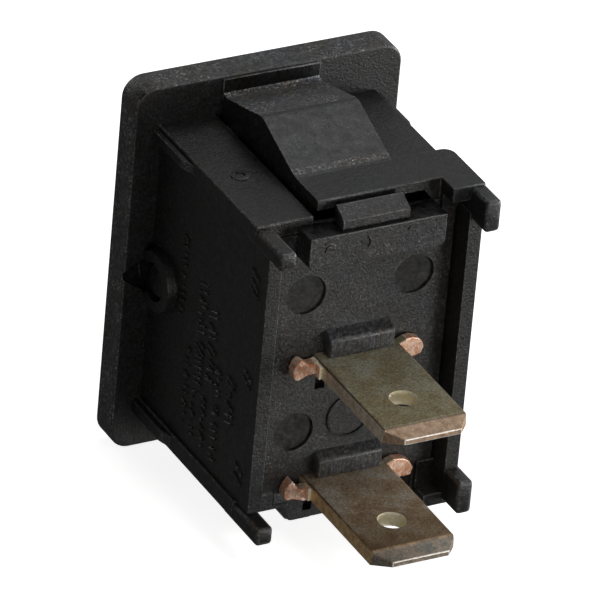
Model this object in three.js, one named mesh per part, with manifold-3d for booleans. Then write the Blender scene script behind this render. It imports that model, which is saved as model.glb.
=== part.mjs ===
// Miniature snap-in rocker switch with two blade terminals, seen as an assembly of loose parts.
//
// Millimetres. The origin is the centre of the bezel's seat, in the plane of the panel that holds it.
// +Y runs backwards through the panel to the blades, +Z runs along the bezel's long side,
// and +X runs across it. The rocker's face looks towards -Y. At rest the switch is off:
// the rocker's upper end stands out and its lower end is pressed in.

import * as THREE from 'three';
import * as BufferGeometryUtils from 'three/addons/utils/BufferGeometryUtils.js';
import Module from 'manifold-3d';

const wasm = await Module();
wasm.setup();

// Driving dimensions.
const BEZEL = { width: 15, height: 21, thick: 1.73, corner: 1.1, round: 0.14 };
const OPENING = { halfX: 5.1, halfZ: 7.5 };
const BODY = {
  halfX: 6.15, wallX: 5.97, innerX: 5.2, innerZ: 7.55, rightZ: 8.02, endY: 10.65, sideY: 11.9, sideZ: 7.7,
};
const WALL_LAP = 0.4;
const LATCH = { halfX: 2.7, slot: 0.25, front: -0.2, fold: 0.55, foldZ: 9.5, under: 8.0 };
const CREST = [[3.0, 10.14], [3.75, 10.36], [4.0, 10.42], [4.25, 10.42], [4.5, 10.35], [4.8, 10.22]];
const REST = { halfX: 2.75, height: 0.15, z: [9.2, 10.34] };
const BRIDGE = { front: 7.93, rear: 10.45, right: -6.05, corner: 0.6, cut: 0.18, postX: -4.22, postY: 11.7 };
const WINDOW = { front: 9.2, top: 8.5, topX: -3.3, lowX: -4.15, low: 7.45 };
const HORN = { innerX: 5.22, outerX: 6.1, end: 13.3 };
// The two ends are not quite alike. Distances are from the middle, outwards along Z.
const UPPER = {
  wall: 8.35, bridge: 9.05, post: 8.2, hornLeft: [7.2, 8.15], hornRight: [7.15, 8.92],
  bridgeEnd: [[2.7, 7.4], [2.7, 9.05]],
};
const LOWER = {
  wall: 8.54, bridge: 9.58, post: 8.85, hornLeft: [7.68, 8.68], hornRight: [7.42, 9.3],
  bridgeEnd: [[3.5, 7.4], [3.5, 8.6], [3.3, 8.95], [2.95, 9.4], [2.6, 9.58]],
};
const PAD = { halfX: 6.45, length: 3.2, taper: 1.2, low: 7.62, drop: 0.22 };
const PIVOT = { y: 1.25, z: 0, hole: 1.05, ring: 1.65, faceX: 6.5, play: 0.08, endX: 6.3 };
const GROOVE = { wide: 1.15, wideX: 6.1, fine: 0.12, fineX: 7.7, y: 0.12, z: -0.2 };
const PLATE = { front: 9.65, rear: 10.65, halfX: 5.1, halfZ: 7.45, overlap: 0.3 };
const DISCS = {
  radius: 1.1, depth: 0.15, centres: [[3.0, 3.84], [-3.05, 3.84], [3.04, -4.11], [-3.04, -4.11]],
};
const TAB = { halfX: 3.82, rear: 12.06, low: 6.15, top: 7.93, gap: 0.05 };
const WEDGE = { halfX: 1.87, front: 10.75, slope: 10.83, rear: 11.71, rearTop: 8.42, top: 8.87 };
const POCKET = { x: [1.5, 2.05], z: [-1.83, -0.33], depth: 0.5 };
const BLADE = {
  halfX: 2.36, thick: 0.8, tip: 19.1, tipThick: 0.32, bevel: 0.95, corner: 0.75, holeY: 15.93, holeR: 0.76,
  slot: 0.09, relief: 0.02, root: 9.3, plain: 11.35,
};
const COMMON_Z = -0.13;
const LOAD_Z = -7.24;
const EAR = { front: 10.75, rear: 11.3 };
const LEFT_EAR = [
  [2.2, -0.35], [2.85, -0.32], [3.4, -0.55], [3.7, -0.25], [3.62, 0.3], [3.3, 0.58], [2.85, 0.28], [2.2, 0.35],
];
const RIGHT_EAR = [
  [2.2, -0.5], [3.2, -0.55], [3.55, -0.42], [3.68, -0.12], [3.62, 0.2], [3.35, 0.5], [2.9, 0.6], [2.2, 0.35],
];
const BAR = { left: 1.73, right: -1.88, rear: 11.35, gap: 0.05, rearTop: 0.97, rootTop: 1.32, edge: 0.09 };
const TILT = THREE.MathUtils.degToRad(10);
const ARM_TILT = THREE.MathUtils.degToRad(7);
const ARM = { halfX: 1.6, thick: 0.4, low: -6.4, high: 3.6, fulcrum: 7.42 };
const KNIFE = { root: 9.2, half: 0.38, edgeHalf: 0.1, length: 0.35 };
const CONTACT = {
  z: -5.1, radius: 1.2, shank: 0.5, head: 0.4, gap: 0.05, upset: 0.15, upsetR: 0.75, endR: 0.68,
  flatR: 0.72, flatDrop: 0.03, dome: 0.14,
};
const FOOT = { front: 8.99, rear: 9.4, high: -3.7 };
const ROCKER = { halfX: 4.9, valley: -3.15, cavityX: 3.9, cavityY: [-1.95, 2], cavityZ: 6.3 };
const ROCKER_END = [[-4.31, 6.6], [-3, 6.95], [-1, 7.3], [0, 7.35], [1.2, 7.3]];
const TOWER = { half: 1.7, front: -2.4, rear: 4.3, boreFloor: 1.4 };
const PLUNGER = { radius: 0.97, bore: 1.05, tip: 5.68, base: 3.35, noseSteps: 4 };
const SPRING = { wire: 0.13, radius: 0.7, turns: 4.5, start: 1.6, end: 3.15, steps: 90, sides: 6 };
const SNAP = { root: 0.3, reach: 0.22, half: 1.2, z: 4.2, front: 9.95, rear: 10.3, play: 0.06 };
const ROUND = 40;
const PAST = 1;

const nylon = { color: 0x17181a, roughness: 0.55, metalness: 0.0 };
const rockerNylon = { color: 0x141517, roughness: 0.38, metalness: 0.0 };
const tarnishedBrass = { color: 0x7d7353, roughness: 0.42, metalness: 0.9 };
const copperStrip = { color: 0xa8683f, roughness: 0.35, metalness: 0.95 };
const silverAlloy = { color: 0xc9c8c2, roughness: 0.3, metalness: 1.0 };
const springSteel = { color: 0x9a9b9c, roughness: 0.3, metalness: 1.0 };

// A three.js geometry with one shared vertex at each corner.
function welded(geometry) {
  const plain = geometry.clone();
  plain.deleteAttribute('normal');
  plain.deleteAttribute('uv');
  return BufferGeometryUtils.mergeVertices(plain, 1e-5);
}

function solid(geometry) {
  const merged = welded(geometry);
  return new wasm.Manifold(new wasm.Mesh({
    numProp: 3,
    vertProperties: new Float32Array(merged.attributes.position.array),
    triVerts: new Uint32Array(merged.index.array),
  }));
}

function geometryOf(body) {
  const mesh = body.getMesh();
  const geometry = new THREE.BufferGeometry();
  geometry.setAttribute('position', new THREE.BufferAttribute(new Float32Array(mesh.vertProperties), 3));
  geometry.setIndex(new THREE.BufferAttribute(new Uint32Array(mesh.triVerts), 1));
  geometry.computeVertexNormals();
  return geometry;
}

// A block between two limits along X, Y and Z. The two limits of a pair can come in either order.
function block(x, y, z) {
  const size = [x, y, z].map(([a, b]) => Math.abs(b - a));
  const middle = [x, y, z].map(([a, b]) => (a + b) / 2);
  const geometry = new THREE.BoxGeometry(...size);
  geometry.translate(...middle);
  return solid(geometry);
}

// An outline of [u, v] points, extruded from d0 to d1, with u, v and d laid along the three columns of axes.
function extruded(points, d0, d1, axes) {
  const shape = new THREE.Shape(points.map(([u, v]) => new THREE.Vector2(u, v)));
  const geometry = new THREE.ExtrudeGeometry(shape, { depth: d1 - d0, bevelEnabled: false });
  geometry.translate(0, 0, d0);
  geometry.applyMatrix4(new THREE.Matrix4().makeBasis(...axes));
  return solid(geometry);
}

const X = new THREE.Vector3(1, 0, 0);
const Y = new THREE.Vector3(0, 1, 0);
const Z = new THREE.Vector3(0, 0, 1);

// Outlines of [y, z], [x, z] and [x, y] points, extruded along the third axis.
function acrossX(points, x0, x1) {
  return extruded(points, x0, x1, [Y, Z, X]);
}

function alongY(points, y0, y1) {
  return extruded(points.map(([x, z]) => [z, x]), y0, y1, [Z, X, Y]);
}

function alongZ(points, z0, z1) {
  return extruded(points, z0, z1, [X, Y, Z]);
}

// A round or tapered bar along X.
function barX(radius0, x0, radius1, x1, y, z) {
  const geometry = new THREE.CylinderGeometry(radius1, radius0, x1 - x0, ROUND);
  geometry.rotateZ(-Math.PI / 2);
  geometry.translate((x0 + x1) / 2, y, z);
  return solid(geometry);
}

function barZ(radius, x, y, z0, z1) {
  const geometry = new THREE.CylinderGeometry(radius, radius, z1 - z0, ROUND);
  geometry.rotateX(Math.PI / 2);
  geometry.translate(x, y, (z0 + z1) / 2);
  return solid(geometry);
}

// A turned part about the Y axis, from a profile of [radius, y] points.
function turned(profile, x, z) {
  const points = profile.map(([radius, y]) => new THREE.Vector2(radius, y));
  const geometry = new THREE.LatheGeometry(points, ROUND);
  geometry.translate(x, 0, z);
  return solid(geometry);
}

function discY(radius, y0, y1, x, z) {
  return turned([[0, y0], [radius, y0], [radius, y1], [0, y1]], x, z);
}

// The same solid on the other side of a plane through the origin.
function mirroredX(body) {
  return body.mirror([1, 0, 0]);
}

function mirroredZ(body) {
  return body.mirror([0, 0, 1]);
}

// The bezel's plate, with its long edges rounded.
function roundedPlate() {
  const round = BEZEL.round;
  const x = BEZEL.width / 2;
  const z = BEZEL.height / 2;
  const corner = BEZEL.corner;
  const shape = new THREE.Shape();
  shape.moveTo(-x + corner, -z);
  shape.lineTo(x - corner, -z);
  shape.absarc(x - corner, -z + corner, corner, -Math.PI / 2, 0);
  shape.lineTo(x, z - corner);
  shape.absarc(x - corner, z - corner, corner, 0, Math.PI / 2);
  shape.lineTo(-x + corner, z);
  shape.absarc(-x + corner, z - corner, corner, Math.PI / 2, Math.PI);
  shape.lineTo(-x, -z + corner);
  shape.absarc(-x + corner, -z + corner, corner, Math.PI, 1.5 * Math.PI);
  const geometry = new THREE.ExtrudeGeometry(shape, {
    depth: BEZEL.thick - 2 * round, curveSegments: 8,
    bevelThickness: round, bevelSize: round, bevelOffset: -round, bevelSegments: 2,
  });
  geometry.rotateX(Math.PI / 2);
  geometry.translate(0, -round, 0);
  return solid(geometry);
}

// The springy latch: a slope that meets the panel's edge, a rounded crest, and a ramp for pushing in.
function latch(end) {
  const rear = BRIDGE.rear - WALL_LAP;
  const outline = [
    [LATCH.front, LATCH.under], [LATCH.front, LATCH.foldZ], [LATCH.fold, LATCH.foldZ], ...CREST,
    [BRIDGE.front, end.bridge], [rear, end.bridge], [rear, LATCH.under],
  ];
  return acrossX(outline, -LATCH.halfX, LATCH.halfX);
}

// The low pad on the bezel's seat, above the latch.
function rest() {
  return block([-REST.halfX, REST.halfX], [-BEZEL.thick / 2, REST.height], REST.z);
}

// The thick bridge across the end wall behind the latch, with its post at the right.
function bridge(end) {
  const { front, rear, right, corner, cut, postX, postY } = BRIDGE;
  const plan = [
    [0, front], [right + corner, front], [right + cut, front + cut], [right, front + corner], [right, rear],
    [0, rear],
  ];
  const span = alongZ(plan, BODY.innerZ, end.bridge);
  const post = block([right, postX], [rear - PAST, postY], [end.post, end.bridge]);
  const left = alongY([[0, end.bridge], [0, BODY.innerZ], ...end.bridgeEnd], front, rear);
  return span.add(post).add(left);
}

function horns(end) {
  const y = [BODY.endY - PAST, HORN.end];
  const left = block([HORN.innerX, HORN.outerX], y, end.hornLeft);
  const right = block([-HORN.outerX, -HORN.innerX], y, end.hornRight);
  return left.add(right);
}

// A locating pad on the side of an end wall, next to the bezel, tapering off backwards.
function pad(side, top) {
  const x0 = BODY.wallX - WALL_LAP;
  const start = -BEZEL.thick / 2;
  const outline = [
    [side * x0, start], [side * PAD.halfX, start], [side * PAD.halfX, PAD.length],
    [side * BODY.halfX, PAD.length + PAD.taper], [side * x0, PAD.length + PAD.taper],
  ];
  return alongZ(outline, PAD.low, top);
}

// One end wall, drawn as the upper end: slots beside and under the latch, and a lower surface to its right.
function endWall(end) {
  const slotX = LATCH.halfX + LATCH.slot;
  const wall = block([-BODY.halfX, BODY.halfX], [-WALL_LAP, BODY.endY], [0, end.wall]);
  const slots = block([-slotX, slotX], [0, BRIDGE.front], [BODY.innerZ - WALL_LAP, end.wall + PAST]);
  const lowered = block([-BODY.halfX - PAST, -slotX], [0, BRIDGE.front], [BODY.rightZ, end.wall + PAST]);
  const pads = pad(1, end.wall - PAD.drop).add(pad(-1, BODY.rightZ - PAD.drop));
  const plain = wall.subtract(slots).subtract(lowered).add(pads);
  return plain.add(latch(end)).add(rest()).add(bridge(end)).add(horns(end));
}

// The left side: the wall is set back between the end walls, and carries the boss for the rocker's pivot.
function sideWall() {
  const wall = block([BODY.innerX, BODY.wallX], [BODY.endY - PAST, BODY.sideY], [-BODY.sideZ, BODY.sideZ]);
  return wall.add(barX(PIVOT.ring, BODY.innerX, PIVOT.ring, PIVOT.faceX, PIVOT.y, PIVOT.z));
}

function sideRecess() {
  return block([BODY.wallX, BODY.halfX + PAST], [0, BODY.endY + PAST], [-PAD.low, PAD.low]);
}

// The tapered groove that leads from the bezel's edge to the pivot's hole.
function groove() {
  return barX(GROOVE.wide, GROOVE.wideX, GROOVE.fine, GROOVE.fineX, GROOVE.y, GROOVE.z);
}

// The window under the upper bridge, and the lower end wall's clearance for the blade's root.
function windows() {
  const slotX = LATCH.halfX + LATCH.slot;
  const rear = BRIDGE.rear + PAST;
  const low = WINDOW.low - WALL_LAP;
  const outline = [
    [slotX, low], [slotX, WINDOW.top], [WINDOW.topX, WINDOW.top], [WINDOW.lowX, WINDOW.low],
    [WINDOW.lowX, low],
  ];
  const upper = alongY(outline, WINDOW.front, rear);
  const root = BLADE.halfX + BLADE.slot;
  const under = LOAD_Z - BLADE.thick / 2 - BAR.gap;
  return upper.add(block([-root, root], [WINDOW.front - WALL_LAP, rear], [under, 0]));
}

function housing() {
  const body = endWall(UPPER).add(mirroredZ(endWall(LOWER)));
  const recessed = body.subtract(sideRecess()).subtract(mirroredX(sideRecess()));
  const walled = recessed.add(sideWall()).add(mirroredX(sideWall())).add(roundedPlate());
  const cavity = block([-BODY.innerX, BODY.innerX], [0, BODY.sideY + PAST], [-BODY.innerZ, BODY.innerZ]);
  const openingY = [-BEZEL.thick - PAST, WALL_LAP];
  const opening = block([-OPENING.halfX, OPENING.halfX], openingY, [-OPENING.halfZ, OPENING.halfZ]);
  const holeX = PIVOT.faceX + PAST;
  const hole = barX(PIVOT.hole, -holeX, PIVOT.hole, holeX, PIVOT.y, PIVOT.z);
  const hollow = walled.subtract(cavity).subtract(opening).subtract(hole);
  const grooved = hollow.subtract(groove()).subtract(mirroredX(groove()));
  return grooved.subtract(snaps(SNAP.play)).subtract(windows());
}

// The base plate's four snap ribs, or with some play round them, the pockets that take them.
function snaps(play) {
  let all = null;
  for (const side of [-1, 1]) {
    for (const z of [-SNAP.z, SNAP.z]) {
      const x = [side * (PLATE.halfX - SNAP.root), side * (PLATE.halfX + SNAP.reach + play)];
      const zs = [z - SNAP.half - play, z + SNAP.half + play];
      const rib = block(x, [SNAP.front - play, SNAP.rear + play], zs);
      all = all ? all.add(rib) : rib;
    }
  }
  return all;
}

// The bar above a blade's root, with a sloping top.
function bar(z) {
  const foot = z + BLADE.thick / 2 + BAR.gap;
  const root = PLATE.rear - PLATE.overlap;
  const outline = [
    [root, foot], [BAR.rear, foot], [BAR.rear, foot + BAR.rearTop - BAR.edge],
    [BAR.rear - BAR.edge, foot + BAR.rearTop], [PLATE.rear, foot + BAR.rootTop], [root, foot + BAR.rootTop],
  ];
  return acrossX(outline, BAR.right, BAR.left);
}

// The plate's tab at one end, which laps over the end wall, and the wedge standing on it.
function endTab() {
  const x = [-TAB.halfX, TAB.halfX];
  const foot = block(x, [PLATE.rear - PLATE.overlap, TAB.rear], [TAB.low, PLATE.halfZ]);
  const lap = block(x, [PLATE.rear + TAB.gap, TAB.rear], [PLATE.halfZ - PLATE.overlap, TAB.top]);
  const low = TAB.top - PLATE.overlap;
  const outline = [
    [WEDGE.front, low], [WEDGE.rear, low], [WEDGE.rear, WEDGE.rearTop], [WEDGE.slope, WEDGE.top],
    [WEDGE.front, WEDGE.top],
  ];
  return foot.add(lap).add(acrossX(outline, -WEDGE.halfX, WEDGE.halfX));
}

function basePlate() {
  let plate = block([-PLATE.halfX, PLATE.halfX], [PLATE.front, PLATE.rear], [-PLATE.halfZ, PLATE.halfZ]);
  plate = plate.add(endTab()).add(bar(COMMON_Z)).add(bar(LOAD_Z)).add(snaps(0));
  const slotX = BLADE.halfX + BLADE.slot;
  for (const z of [COMMON_Z, LOAD_Z]) {
    const slotZ = [z - BLADE.thick / 2 - BAR.gap, z + BLADE.thick / 2 + BAR.gap];
    plate = plate.subtract(block([-slotX, slotX], [PLATE.front - PAST, TAB.rear + PAST], slotZ));
  }
  for (const [x, z] of DISCS.centres) {
    plate = plate.subtract(discY(DISCS.radius, PLATE.rear - DISCS.depth, PLATE.rear + PAST, x, z));
  }
  return plate.subtract(block(POCKET.x, [PLATE.rear - POCKET.depth, PLATE.rear + PAST], POCKET.z));
}

// The two ears pinched out of a blade's root, which keep it from being pushed in.
function ears(z) {
  const left = LEFT_EAR.map(([x, height]) => [x, z + height]);
  const right = RIGHT_EAR.map(([x, height]) => [-x, z + height]);
  return alongY(left, EAR.front, EAR.rear).add(alongY(right, EAR.front, EAR.rear));
}

// The blade that stands out of the back: bevelled tip, cut corners, one hole and its ears.
function blade(z, root) {
  const half = BLADE.thick / 2;
  const thin = half - BLADE.relief;
  const tipHalf = BLADE.tipThick / 2;
  const shoulder = BLADE.tip - BLADE.bevel;
  const side = [
    [root, z - thin], [BLADE.plain, z - thin], [BLADE.plain, z - half], [shoulder, z - half],
    [BLADE.tip, z - tipHalf], [BLADE.tip, z + tipHalf], [shoulder, z + half], [BLADE.plain, z + half],
    [BLADE.plain, z + thin], [root, z + thin],
  ];
  const tipX = BLADE.halfX - BLADE.corner;
  const plan = [
    [-BLADE.halfX, root - PAST], [BLADE.halfX, root - PAST], [BLADE.halfX, shoulder], [tipX, BLADE.tip],
    [-tipX, BLADE.tip], [-BLADE.halfX, shoulder],
  ];
  const flat = acrossX(side, -BLADE.halfX, BLADE.halfX).intersect(alongZ(plan, z - PAST, z + PAST));
  return flat.add(ears(z)).subtract(barZ(BLADE.holeR, 0, BLADE.holeY, z - PAST, z + PAST));
}

// The common terminal carries the arm on the knife edge at its inner end.
function terminalCommon() {
  const z = COMMON_Z;
  const edge = ARM.fulcrum + CONTACT.gap;
  const outline = [
    [BLADE.root, z - KNIFE.half], [BLADE.root, z + KNIFE.half], [edge + KNIFE.length, z + KNIFE.half],
    [edge, z + KNIFE.edgeHalf], [edge, z - KNIFE.edgeHalf], [edge + KNIFE.length, z - KNIFE.half],
  ];
  return blade(z, KNIFE.root).add(acrossX(outline, -ARM.halfX, ARM.halfX));
}

// The hole for a contact's shank in a strip whose front face is at y.
function shankHole(y) {
  return discY(CONTACT.shank + CONTACT.gap, y - PAST, y + PAST, 0, CONTACT.z);
}

// The load terminal turns a foot up inside the plate, which carries the fixed contact.
function terminalLoad() {
  const foot = block([-ARM.halfX, ARM.halfX], [FOOT.front, FOOT.rear], [-PLATE.halfZ, FOOT.high]);
  return blade(LOAD_Z, BLADE.root).add(foot).subtract(shankHole(FOOT.front));
}

// A contact rivet with a low domed face: head, shank and a small upset end on the far side of the strip.
function rivet(face, seat, back, direction) {
  const { radius, shank, upsetR, endR, flatR } = CONTACT;
  const flat = face + direction * CONTACT.flatDrop;
  const rim = face + direction * CONTACT.dome;
  const end = back + direction * CONTACT.upset;
  const profile = [
    [0, face], [flatR, flat], [radius, rim], [radius, seat], [shank, seat], [shank, back],
    [upsetR, back], [endR, end], [0, end],
  ];
  return turned(direction > 0 ? profile : profile.reverse(), 0, CONTACT.z);
}

function fixedContact() {
  const seat = FOOT.front - CONTACT.gap;
  return rivet(seat - CONTACT.head, seat, FOOT.rear + CONTACT.gap, 1);
}

// The arm is a flat strip, made level here and tipped by its group.
function contactArm() {
  const front = ARM.fulcrum - ARM.thick;
  const strip = block([-ARM.halfX, ARM.halfX], [front, ARM.fulcrum], [ARM.low, ARM.high]);
  return strip.subtract(shankHole(front));
}

function movingContact() {
  const seat = ARM.fulcrum + CONTACT.gap;
  return rivet(seat + CONTACT.head, seat, ARM.fulcrum - ARM.thick - CONTACT.gap, -1);
}

// The rocker about its own pivot: a hollow cap whose face is a shallow valley, with a tower for the plunger.
function rocker() {
  const lower = ROCKER_END.map(([y, z]) => [y, -z]);
  const outline = [...lower, ...ROCKER_END.toReversed(), [ROCKER.valley, 0]];
  const cap = acrossX(outline, -ROCKER.halfX, ROCKER.halfX);
  const cavityZ = [-ROCKER.cavityZ, ROCKER.cavityZ];
  const hollow = cap.subtract(block([-ROCKER.cavityX, ROCKER.cavityX], ROCKER.cavityY, cavityZ));
  const side = [-TOWER.half, TOWER.half];
  const radius = PIVOT.hole - PIVOT.play;
  const pin = barX(radius, ROCKER.halfX - PLATE.overlap, radius, PIVOT.endX, 0, 0);
  const whole = hollow.add(block(side, [TOWER.front, TOWER.rear], side)).add(pin).add(mirroredX(pin));
  return whole.subtract(discY(PLUNGER.bore, TOWER.boreFloor, TOWER.rear + PAST, 0, 0));
}

// The plunger is a pin with a round nose.
function plunger() {
  const { radius, base, tip, noseSteps } = PLUNGER;
  const profile = [[0, base], [radius, base]];
  for (let step = 0; step < noseSteps; step += 1) {
    const angle = (step / noseSteps) * Math.PI / 2;
    profile.push([radius * Math.cos(angle), tip - radius * (1 - Math.sin(angle))]);
  }
  profile.push([0, tip]);
  return turned(profile, 0, 0);
}

class Helix extends THREE.Curve {
  getPoint(t, target = new THREE.Vector3()) {
    const angle = t * SPRING.turns * 2 * Math.PI;
    const y = SPRING.start + t * (SPRING.end - SPRING.start);
    return target.set(SPRING.radius * Math.cos(angle), y, SPRING.radius * Math.sin(angle));
  }
}

function spring() {
  const section = new THREE.Shape();
  section.absarc(0, 0, SPRING.wire, 0, 2 * Math.PI);
  return welded(new THREE.ExtrudeGeometry(section, {
    steps: SPRING.steps, curveSegments: SPRING.sides, bevelEnabled: false, extrudePath: new Helix(),
  }));
}

function named(name, geometry, finish) {
  const mesh = new THREE.Mesh(geometry, new THREE.MeshStandardMaterial(finish));
  mesh.name = name;
  return mesh;
}

const fixed = new THREE.Group();
fixed.add(named('housing', geometryOf(housing()), nylon));
fixed.add(named('base_plate', geometryOf(basePlate()), nylon));
fixed.add(named('terminal_common', geometryOf(terminalCommon()), tarnishedBrass));
fixed.add(named('terminal_load', geometryOf(terminalLoad()), tarnishedBrass));
fixed.add(named('fixed_contact', geometryOf(fixedContact()), silverAlloy));

const rocking = new THREE.Group();
rocking.position.set(0, PIVOT.y, PIVOT.z);
rocking.rotation.x = TILT;
rocking.add(named('rocker', geometryOf(rocker()), rockerNylon));
rocking.add(named('plunger', geometryOf(plunger()), rockerNylon));
rocking.add(named('spring', spring(), springSteel));

const seesaw = new THREE.Group();
seesaw.position.set(0, ARM.fulcrum, COMMON_Z);
seesaw.rotation.x = -ARM_TILT;
const level = new THREE.Group();
level.position.set(0, -ARM.fulcrum, 0);
level.add(named('contact_arm', geometryOf(contactArm()), copperStrip));
level.add(named('moving_contact', geometryOf(movingContact()), silverAlloy));
seesaw.add(level);

const group = new THREE.Group();
group.add(fixed, rocking, seesaw);

export default group;
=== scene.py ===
import math

import bmesh
import bpy
from mathutils import Matrix, Vector


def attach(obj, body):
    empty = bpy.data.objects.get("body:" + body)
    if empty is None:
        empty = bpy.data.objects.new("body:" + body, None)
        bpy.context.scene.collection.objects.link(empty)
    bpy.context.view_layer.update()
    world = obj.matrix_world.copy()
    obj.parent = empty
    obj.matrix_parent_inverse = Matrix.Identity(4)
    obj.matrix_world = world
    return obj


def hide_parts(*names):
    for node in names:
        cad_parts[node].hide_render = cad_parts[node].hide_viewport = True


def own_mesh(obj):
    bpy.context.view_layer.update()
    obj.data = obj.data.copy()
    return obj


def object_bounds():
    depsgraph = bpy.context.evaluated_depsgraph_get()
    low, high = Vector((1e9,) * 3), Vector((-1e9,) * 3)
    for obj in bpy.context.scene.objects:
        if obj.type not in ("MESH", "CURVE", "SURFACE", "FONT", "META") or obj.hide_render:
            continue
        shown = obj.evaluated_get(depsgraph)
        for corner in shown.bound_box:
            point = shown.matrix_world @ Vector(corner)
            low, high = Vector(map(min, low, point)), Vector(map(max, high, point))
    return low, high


# Miniature snap-in rocker switch seen from behind. Lengths in the tables below are millimetres in the
# CAD frame: +Y runs backwards to the blades, +Z along the bezel's long side, +X across it. Only the
# camera's clipping, the lights and the floor are in metres.

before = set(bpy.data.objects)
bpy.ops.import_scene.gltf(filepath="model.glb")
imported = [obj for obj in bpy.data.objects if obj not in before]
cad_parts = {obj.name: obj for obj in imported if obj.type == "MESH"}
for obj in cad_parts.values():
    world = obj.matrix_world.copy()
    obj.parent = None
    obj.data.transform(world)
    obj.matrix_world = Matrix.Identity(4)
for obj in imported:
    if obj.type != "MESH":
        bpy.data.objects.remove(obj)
cad_low, cad_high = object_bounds()
MM = 0.001

# Camera: a long lens, looking down on the rear from the left, turned a little about its own axis.
AIM = (-1.503, 2.304, -2.107)
CAMERA = {
    "distance": 466.04, "azimuth": 149.891, "elevation": 30.730, "roll": 5.173,
    "lens": 552.9, "sensor": 36.0, "near": 0.02, "far": 20.0,
}

# Disk lights around the object, as azimuth, elevation, size, power and color.
LIGHT_DISTANCE = 0.30
LIGHTS = {
    "key": (216, -4, 0.12, 0.31, (1.0, 0.99, 0.97)),
    "rear": (157, 4, 0.06, 0.11, (1.0, 0.98, 0.95)),
    "high": (188, 46, 0.08, 0.14, (1.0, 0.99, 0.97)),
    "side": (260, 4, 0.16, 0.85, (0.98, 0.99, 1.0)),
    "top": (297, 60, 0.20, 0.19, (0.98, 0.99, 1.0)),
    "front": (8, 12, 0.16, 0.14, (1.0, 1.0, 1.0)),
    "backdrop": (328, 18, 0.44, 0.09, (0.98, 0.99, 1.0)),
}
WORLD_STRENGTH = 0.075
FLOOR = {"half": 3.0, "gap": 0.0002, "tone": 0.9, "glow": 0.85}
WHITE = (1.0, 1.0, 1.0, 1.0)

# Z of the middle of each blade.
BLADES = {"terminal_common": -0.13, "terminal_load": -7.24}


# ---------------------------------------------------------------- camera, light and floor

def facing(azimuth, elevation):
    a, e = math.radians(azimuth), math.radians(elevation)
    return Vector((math.sin(a) * math.cos(e), -math.cos(a) * math.cos(e), math.sin(e)))


def make_camera():
    back = facing(CAMERA["azimuth"], CAMERA["elevation"])
    data = bpy.data.cameras.new("camera")
    data.lens = CAMERA["lens"]
    data.sensor_width = CAMERA["sensor"]
    data.clip_start = CAMERA["near"]
    data.clip_end = CAMERA["far"]
    camera = bpy.data.objects.new("camera", data)
    bpy.context.collection.objects.link(camera)
    turn = (-back).to_track_quat("-Z", "Y").to_matrix().to_4x4()
    roll = Matrix.Rotation(math.radians(CAMERA["roll"]), 4, "Z")
    camera.matrix_world = Matrix.Translation((Vector(AIM) + back * CAMERA["distance"]) * MM) @ turn @ roll
    bpy.context.scene.camera = camera


def area_light(name, azimuth, elevation, size, power, color):
    data = bpy.data.lights.new(name, "AREA")
    data.shape = "DISK"
    data.size = size
    data.energy = power
    data.color = color
    light = bpy.data.objects.new(name, data)
    back = facing(azimuth, elevation)
    light.location = back * LIGHT_DISTANCE
    light.rotation_mode = "QUATERNION"
    light.rotation_quaternion = (-back).to_track_quat("-Z", "Y")
    bpy.context.collection.objects.link(light)


def make_world():
    world = bpy.data.worlds.new("studio")
    bpy.context.scene.world = world
    world.use_nodes = True
    background = world.node_tree.nodes["Background"]
    background.inputs["Color"].default_value = WHITE
    background.inputs["Strength"].default_value = WORLD_STRENGTH
    for name, settings in LIGHTS.items():
        area_light(name, *settings)


def make_floor():
    """A pale floor that glows by itself, and neither lights the object nor shows in it."""
    bm = bmesh.new()
    bmesh.ops.create_grid(bm, x_segments=1, y_segments=1, size=FLOOR["half"])
    floor = new_object("floor", bm)
    floor.location.z = cad_low.z - FLOOR["gap"]
    floor.visible_diffuse = False
    floor.visible_glossy = False
    floor.visible_shadow = False
    material = bpy.data.materials.new("pale_floor")
    material.use_nodes = True
    shader = material.node_tree.nodes["Principled BSDF"]
    shader.inputs["Base Color"].default_value = (FLOOR["tone"], FLOOR["tone"], FLOOR["tone"], 1.0)
    shader.inputs["Roughness"].default_value = 1.0
    shader.inputs["Emission Color"].default_value = WHITE
    shader.inputs["Emission Strength"].default_value = FLOOR["glow"]
    floor.data.materials.append(material)


# ---------------------------------------------------------------- mesh helpers

def new_object(name, bm):
    mesh = bpy.data.meshes.new(name)
    bm.to_mesh(mesh)
    bm.free()
    thing = bpy.data.objects.new(name, mesh)
    bpy.context.collection.objects.link(thing)
    return thing


def scaled(bm):
    """The mesh turned from millimetres to metres, with its faces looking outwards."""
    bmesh.ops.recalc_face_normals(bm, faces=bm.faces[:])
    bmesh.ops.scale(bm, vec=(MM, MM, MM), verts=bm.verts[:])
    return bm


# How a point of an outline and its height along an axis become X, Y, Z.
PLANES = {
    "x": lambda u, v, w: (w, u, v),
    "y": lambda u, v, w: (u, w, v),
    "z": lambda u, v, w: (u, v, w),
}


def prism(outline, axis, low, high, round_by=0.0, segments=2):
    """A solid with that outline, in the two other axes in X, Y, Z order, between low and high along axis.

    Its sharp edges are rounded by round_by."""
    place = PLANES[axis]
    bm = bmesh.new()
    bottom = [bm.verts.new(place(u, v, low)) for u, v in outline]
    top = [bm.verts.new(place(u, v, high)) for u, v in outline]
    bm.faces.new(bottom)
    bm.faces.new(top)
    count = len(outline)
    for i in range(count):
        j = (i + 1) % count
        bm.faces.new((bottom[i], bottom[j], top[j], top[i]))
    bmesh.ops.recalc_face_normals(bm, faces=bm.faces[:])
    round_edges(bm, round_by, segments)
    return new_object("part", scaled(bm))


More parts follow.
